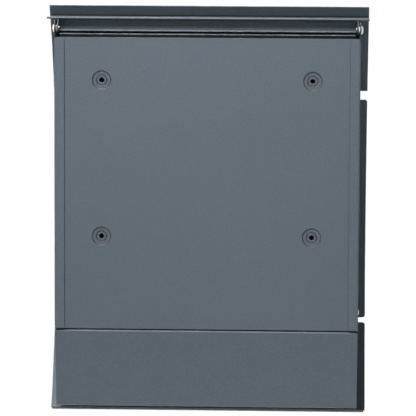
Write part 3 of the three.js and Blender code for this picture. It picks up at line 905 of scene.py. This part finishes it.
def holder_apron():
    low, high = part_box("holder_apron")
    return_y, return_height = -39.5 * MM - FRONT_SHEET, 3.3 * MM
    beside_fold = 1.5 * MM  # from the fold's end to the plate's side, with the slit
    behind = [(return_y, low.z + return_height), (return_y, low.z + FRONT_SHEET)]
    pattern, line, loose = folded_plate(low.z, high.z, behind, HALF_FRONT - beside_fold)
    make("holder_apron", bent(pattern, line, unbent=loose))


# ---------------------------------------------------------------- the flap's roof and hinge strip
ROOF_TOP = 140.3 * MM
ROOF_FOLD_SHADE = 2.8 * MM  # width of the painted shade in front of the roof's fold, standing in for the shadow in that crevice


def flap_roof():
    """A flat roof: its rear edge is folded under into a hem, its front is bent up against the plate."""
    low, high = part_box("flap_roof")
    fold_gap = 0.02 * MM
    hem_length = 6 * MM
    hem_radius = SHEET + fold_gap
    flange = BOW_INNER - GAP - SHEET
    nose_y = high.y - hem_radius
    front_y = bow_y(ROOF_TOP, flange)
    line = BendLine((nose_y - hem_length, ROOF_TOP - 2 * hem_radius), 0)
    line.straight(hem_length).bend(math.pi, hem_radius)
    rise, run = high.z - ROOF_TOP, bow_y(high.z, flange) - front_y
    turn = math.atan2(rise, run) - math.pi
    used = BEND * math.tan(abs(turn) / 2)
    flange_height = math.hypot(rise, run)
    line.straight(nose_y - front_y - used)
    fold = line.length
    line.bend(turn, BEND).straight(flange_height - used)
    # painted shade in the fold where the roof meets its flange, standing in for the shadow in that crevice
    make("flap_roof", bent(strip(line, low.x, high.x), line, shaded_fold=(fold, fold + ROOF_FOLD_SHADE)))


def ear(outline, side, pivot):
    """A flat ear beside the side panel, with the hole for its pin: its outline is in (y, z)."""
    pattern = Pattern(outline, SHEET).hole((pivot.y, pivot.z), PIN_RADIUS + PIN_PLAY)
    line = BendLine((EAR_OUTER, 0), math.pi / 2).straight(0)
    on_side = lambda across, point: (point.x, across, point.y)
    return bent(pattern, line, on_side, mirror=side < 0)


def flap_hinge_strip():
    """A Z-shaped strip: top flange under the roof, web, and a lip along the lower edge."""
    low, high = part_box("flap_hinge_strip")
    web_y, lip_y, lip_z = -20 * MM, -13 * MM, 127.4 * MM
    line = through([(lip_y, lip_z), (web_y, lip_z), (web_y, high.z), (low.y, high.z)])
    web = bent(strip(line, -EAR_INNER + SEAM, EAR_INNER - SEAM), line)
    pivot, ear_top, ear_rear = FLAP_PIVOT, 138 * MM, -12.5 * MM
    outline = (
        [(web_y - SHEET, ear_top), (web_y - SHEET, lip_z)]
        + arc((pivot.y, pivot.z), EAR_RADIUS, -90, 70)
        + [(ear_rear, ear_top)]
    )
    make("flap_hinge_strip", web, ear(outline, 1, pivot), ear(outline, -1, pivot))


# ---------------------------------------------------------------- door brackets
def door_bracket(name):
    """A leg against the door plate, with a hinge ear bent from it."""
    node = name + "_door_bracket"
    low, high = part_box(node)
    side, pivot = mirrored(name), DOOR_PIVOT
    outer = BOW_INNER - GAP
    inner = outer - SHEET
    bottom, top = pivot.z - 3 * MM, high.z
    leg_corner, ear_setback = 0.6 * MM, 4 * MM
    lean, lean_top = bow_lean(bottom, outer), bow_lean(top, outer)
    start = (BOW_AXIS_Y - inner * math.cos(lean), BOW_HEIGHT + inner * math.sin(lean))
    line = BendLine(start, math.pi / 2 - lean).bend(lean - lean_top, inner)
    leg_inner = min(abs(low.x), abs(high.x))
    leg = bent(strip(line, leg_inner, EAR_INNER - SEAM, radius=leg_corner), line, mirror=side < 0)
    middle = outer - SHEET / 2
    leans = [lean_top + (lean - lean_top) * i / 6 for i in range(7)]
    front = [(BOW_AXIS_Y - middle * math.cos(t), BOW_HEIGHT + middle * math.sin(t)) for t in leans]
    rear_top = (bow_y(top, outer - ear_setback), top)
    outline = arc((pivot.y, pivot.z), EAR_RADIUS, -130, 60) + [rear_top] + front
    make(node, leg, ear(outline, side, pivot))


# ---------------------------------------------------------------- newspaper holder
def holder_sheet():
    """One folded sheet: a flange under the case, the back, the bottom and a flange for the apron."""
    low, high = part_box("holder_sheet")
    weld_radius = BOW_INNER - GAP - SHEET
    flange_depth, bottom_depth, weld_height = 46 * MM, 12 * MM, 11 * MM
    flange_z, floor_z, weld_top = high.z - SHEET, low.z + SHEET, low.z + weld_height
    line = through(
        [
            (-flange_depth, flange_z),
            (-SHEET, flange_z),
            (-bottom_depth - SHEET, floor_z),
            (bow_y(low.z, weld_radius), floor_z),
            (bow_y(weld_top, weld_radius), weld_top),
        ]
    )
    pattern = strip(line, low.x, high.x)
    drill(pattern, line, 0)
    make("holder_sheet", bent(pattern, line))


# ---------------------------------------------------------------- cam lock
LOCK_UP = Vector((0, math.sin(LOCK_LEAN), math.cos(LOCK_LEAN)))
LOCK_OUT = Vector((0, -math.cos(LOCK_LEAN), math.sin(LOCK_LEAN)))
LOCK_PLACE = Matrix.Translation((0, bow_y(LOCK_Z, BOW_RADIUS), LOCK_Z)) @ Matrix(
    ((1, 0, 0), (0, LOCK_UP.y, LOCK_OUT.y), (0, LOCK_UP.z, LOCK_OUT.z))
).to_4x4()
LOCK = {"barrel": 9 * MM, "flange": 11 * MM, "face": 2.9 * MM, "bore": 6.3 * MM, "length": 17 * MM}
PLUG = {"radius": 6 * MM, "face": 2.5 * MM, "shoulder": 19 * MM, "square": 3.4 * MM, "bore": 1.8 * MM}
# the key slot; its depth runs from the door's outer face, and the plug's face stands proud of that
KEYWAY = {"half_width": 0.8 * MM, "half_height": 3.6 * MM, "corner": 0.3 * MM, "depth": 8 * MM}
WASHER = {"rim": 13 * MM, "height": 0.8 * MM, "bow": 0.15 * MM}  # bow: the plate's curve behind it
LOCK_NUT = {"corner": 13 * MM, "bore": 9.3 * MM, "height": 4 * MM}
CAM_SCREW = {"top": 3.4 * MM, "head": 5.2 * MM, "height": 2.4 * MM, "slope": 1.2 * MM}
CAM_SCREW_SHANK = {"radius": 1.5 * MM, "depth": 2 * MM}
CAM = {"reach": 27 * MM, "width": 14 * MM, "eye": 9 * MM, "thickness": 2 * MM}
CAM_FACE = -PLUG["shoulder"] - GAP
CAM_BACK = CAM_FACE - CAM["thickness"]


def on_lock(bm, height=0.0):
    """Places a piece made round the Z axis on the lock: height 0 is the door's outer face."""
    bmesh.ops.transform(bm, matrix=LOCK_PLACE @ Matrix.Translation((0, 0, height)), verts=bm.verts)
    return bm


def lock_ring(node, profile, soft):
    """A piece turned round the lock's axis."""
    make(node, on_lock(turned(softened(profile, soft), (0, 0, 1), (0, 0, 0), LOCK_CIRCLE)))


def lock_body():
    bore, barrel, flange = LOCK["bore"], LOCK["barrel"], LOCK["flange"]
    face, end = LOCK["face"], -LOCK["length"]
    dish = 0.5 * MM
    slope_height, slope_width = 0.9 * MM, 1.6 * MM
    lip_outer, lip_inner = bore + 1.4 * MM, bore + 0.9 * MM
    profile = [
        (bore, end), (barrel, end), (barrel, GAP), (flange, GAP), (flange, face - slope_height),
        (flange - slope_width, face), (lip_outer, face), (lip_inner, face - dish), (bore, face - dish),
        (bore, end),
    ]  # fmt: skip
    lock_ring("lock_body", profile, 0.25 * MM)


def square(half, corner=0.3 * MM):
    return rectangle((-half, -half), (half, half), corner)


def lock_plug():
    """The front with its keyway, the core behind it and the square tail that carries the cam."""
    depth, disc = KEYWAY["depth"], ring_points((0, 0), PLUG["radius"], LOCK_CIRCLE)
    key_corner = (KEYWAY["half_width"], KEYWAY["half_height"])
    keyway = rectangle((-key_corner[0], -key_corner[1]), key_corner, KEYWAY["corner"])
    front_pattern = Pattern(disc, depth + PLUG["face"]).cut_out(keyway)
    front = on_lock(flat_blank(front_pattern, []), -depth)
    core_length = PLUG["shoulder"] - depth - SEAM
    core = on_lock(flat_blank(Pattern(disc, core_length), []), -PLUG["shoulder"])
    tail_length = CAM["thickness"] + GAP - SEAM
    tail_pattern = Pattern(square(PLUG["square"]), tail_length).hole((0, 0), PLUG["bore"])
    tail = on_lock(flat_blank(tail_pattern, []), CAM_BACK)
    make("lock_plug", front, core, tail)


def lock_cam():
    half, eye = CAM["width"] / 2, CAM["eye"]
    outline = arc((0, 0), eye, 60, 300) + arc((CAM["reach"] - half, 0), half, -90, 90)
    pattern = Pattern(outline, CAM["thickness"]).cut_out(square(PLUG["square"] + GAP))
    make("lock_cam", on_lock(flat_blank(pattern, []), CAM_BACK))


def lock_fixings():
    """Washer and nut behind the door plate, and the screw that holds the cam."""
    washer_face = -FRONT_SHEET - GAP - WASHER["bow"]
    washer_back = washer_face - WASHER["height"]
    ring = [
        (LOCK_HOLE, washer_back),
        (WASHER["rim"], washer_back),
        (WASHER["rim"], washer_face),
        (LOCK_HOLE, washer_face),
        (LOCK_HOLE, washer_back),
    ]
    lock_ring("lock_washer", ring, 0.2 * MM)
    nut = nut_blank(LOCK_NUT["corner"], LOCK_NUT["bore"], LOCK_NUT["height"])
    make("lock_nut", on_lock(nut, washer_back - GAP - LOCK_NUT["height"]))
    under = CAM_BACK - GAP
    top = under - CAM_SCREW["height"]
    end = -PLUG["shoulder"] + CAM_SCREW_SHANK["depth"]
    screw = [
        (0, top),
        (CAM_SCREW["top"], top),
        (CAM_SCREW["head"], under - CAM_SCREW["slope"]),
        (CAM_SCREW["head"], under),
        (CAM_SCREW_SHANK["radius"], under),
        (CAM_SCREW_SHANK["radius"], end),
        (0, end),
    ]
    lock_ring("lock_cam_screw", screw, 0.3 * MM)


# ---------------------------------------------------------------- build
back_panel()
rear_rail()
front_cross_rail()
case_floor()
flap_plate()
flap_roof()
flap_hinge_strip()
door_plate()
holder_sheet()
holder_apron()
lock_body()
lock_plug()
lock_cam()
lock_fixings()
for name in ("right", "left"):
    side_panel(mirrored(name), name)
    bush(name + "_flap_bush", name, FLAP_PIVOT, **FLAP_BUSH)
    bush(name + "_door_bush", name, DOOR_PIVOT, **DOOR_BUSH)
    hinge_pin(name + "_flap_pin", name, FLAP_PIVOT)
    hinge_pin(name + "_door_pin", name, DOOR_PIVOT)
    bumper(name)
    door_bracket(name)
    for place in ("rear", "front"):
        holder_screw(f"{name}_{place}_holder_screw")
        holder_nut(f"{name}_{place}_holder_nut")


# ---------------------------------------------------------------- floor, light and camera
FLOOR_DROP = 0.45  # from the mailbox down to the floor
FLOOR_HALF = 700.0  # the floor runs on past what the camera can see

CAMERA_PLACE = (-0.1043, 2.2, 0.1631)
CAMERA_YAW, CAMERA_PITCH, CAMERA_ROLL = 0.0267, 0.0893, -0.0064  # radians; pitch is downwards
CAMERA_LENS = 191.87  # mm
CAMERA_SHIFT = (-0.1063, -0.0347)

SKY_EDGES = (0.12, 0.45)  # height of the view's direction at which the sky starts and stops fading
SKY_STRENGTHS = (1.0, 0.22)  # at the horizon and overhead

# four lights over the floor, round a zone near the mailbox that they leave out
LIGHT_HEIGHT = 30.0
LIGHT_FAR = 600.0  # how far they reach
LIGHT_NEAR_X = 3.5
LIGHT_NEAR_Y = (-1, 3.5)
LIGHT_POWER = 2.75  # watts per square metre
LIGHT_SPREAD = 8  # degrees


def studio_floor():
    """A plain pale floor, below the mailbox as it hangs."""
    bm = bmesh.new()
    level = CAD_BOUNDS[0].z - FLOOR_DROP
    square_floor = rectangle((-FLOOR_HALF, -FLOOR_HALF), (FLOOR_HALF, FLOOR_HALF))
    bm.faces.new([bm.verts.new((x, y, level)) for x, y in square_floor])
    mesh = bpy.data.meshes.new("floor")
    bm.to_mesh(mesh)
    bm.free()
    floor = bpy.data.objects.new("floor", mesh)
    bpy.context.scene.collection.objects.link(floor)
    n = Nodes("floor_paint")
    cloud = n.remap(n.noise(0.8, 3), 0.3, 0.7, 0, 1)
    n.join(n.mixed(cloud, (0.86, 0.86, 0.86), (0.89, 0.89, 0.89)), n.shader.inputs["Base Color"])
    n.set(Roughness=0.9, Specular_IOR_Level=0.1)
    mesh.materials.append(n.material)


def softbox(name, at, towards, size, power, spread):
    """A rectangular area light; its spread is in degrees."""
    light = bpy.data.lights.new(name, "AREA")
    light.shape = "RECTANGLE"
    light.size, light.size_y = size
    light.energy = power
    light.spread = math.radians(spread)
    lamp = bpy.data.objects.new(name, light)
    bpy.context.scene.collection.objects.link(lamp)
    way = Vector(towards) - Vector(at)
    lamp.matrix_world = Matrix.Translation(at) @ way.to_track_quat("-Z", "Y").to_matrix().to_4x4()


def camera():
    """Seen from the wall's side, a little from above and from the mailbox's left."""
    yaw, pitch, roll = CAMERA_YAW, CAMERA_PITCH, CAMERA_ROLL
    ahead = Vector((math.sin(yaw), -math.cos(yaw), 0))
    across = Vector((-math.cos(yaw), -math.sin(yaw), 0))
    up = Vector((0, 0, 1))
    view = ahead * math.cos(pitch) - up * math.sin(pitch)
    lifted = up * math.cos(pitch) + ahead * math.sin(pitch)
    right = across * math.cos(roll) - lifted * math.sin(roll)
    upright = lifted * math.cos(roll) + across * math.sin(roll)
    data = bpy.data.cameras.new("camera")
    data.lens = CAMERA_LENS
    data.shift_x, data.shift_y = CAMERA_SHIFT
    data.clip_end = 2000
    seen_from = bpy.data.objects.new("camera", data)
    bpy.context.scene.collection.objects.link(seen_from)
    turn = Matrix((right, upright, -view)).transposed().to_4x4()
    seen_from.matrix_world = Matrix.Translation(CAMERA_PLACE) @ turn
    bpy.context.scene.camera = seen_from


def sky():
    """Bright towards the horizon, like the walls of a white studio, and dimmer overhead."""
    world = bpy.data.worlds.new("studio")
    world.use_nodes = True
    tree = world.node_tree
    direction = tree.nodes.new("ShaderNodeTexCoord").outputs["Generated"]
    parts = tree.nodes.new("ShaderNodeSeparateXYZ")
    fade = tree.nodes.new("ShaderNodeMapRange")
    names = ("From Min", "From Max", "To Min", "To Max")
    for name, value in zip(names, SKY_EDGES + SKY_STRENGTHS):
        fade.inputs[name].default_value = value
    tree.links.new(direction, parts.inputs[0])
    tree.links.new(parts.outputs["Z"], fade.inputs["Value"])
    tree.links.new(fade.outputs["Result"], tree.nodes["Background"].inputs["Strength"])
    tree.nodes["Background"].inputs["Color"].default_value = (1, 1, 1, 1)
    bpy.context.scene.world = world


def studio():
    """Soft light from high on the wall's side, a fill from the other side, and an evenly lit floor."""
    bpy.context.scene.view_settings.view_transform = "Standard"
    softbox("wall_side", (0.36, 1.0, 1.5), (0, 0, 0.05), (0.7, 0.5), 11.2, 60)
    softbox("front_side", (1.5, -2.2, 1.7), (0, 0, -0.05), (1.3, 1.0), 32, 60)
    far, near_x, near_y = LIGHT_FAR, LIGHT_NEAR_X, LIGHT_NEAR_Y
    middle_y, depth = sum(near_y) / 2, near_y[1] - near_y[0]
    around = [
        (0, near_y[0] - far / 2, far, far),
        (0, near_y[1] + far / 2, far, far),
        (near_x + far / 4, middle_y, far / 2, depth),
        (-near_x - far / 4, middle_y, far / 2, depth),
    ]
    for i, (x, y, width, length) in enumerate(around):
        power = LIGHT_POWER * width * length
        softbox(f"floor_light_{i}", (x, y, LIGHT_HEIGHT), (x, y, 0), (width, length), power, LIGHT_SPREAD)


studio_floor()
camera()
sky()
studio()
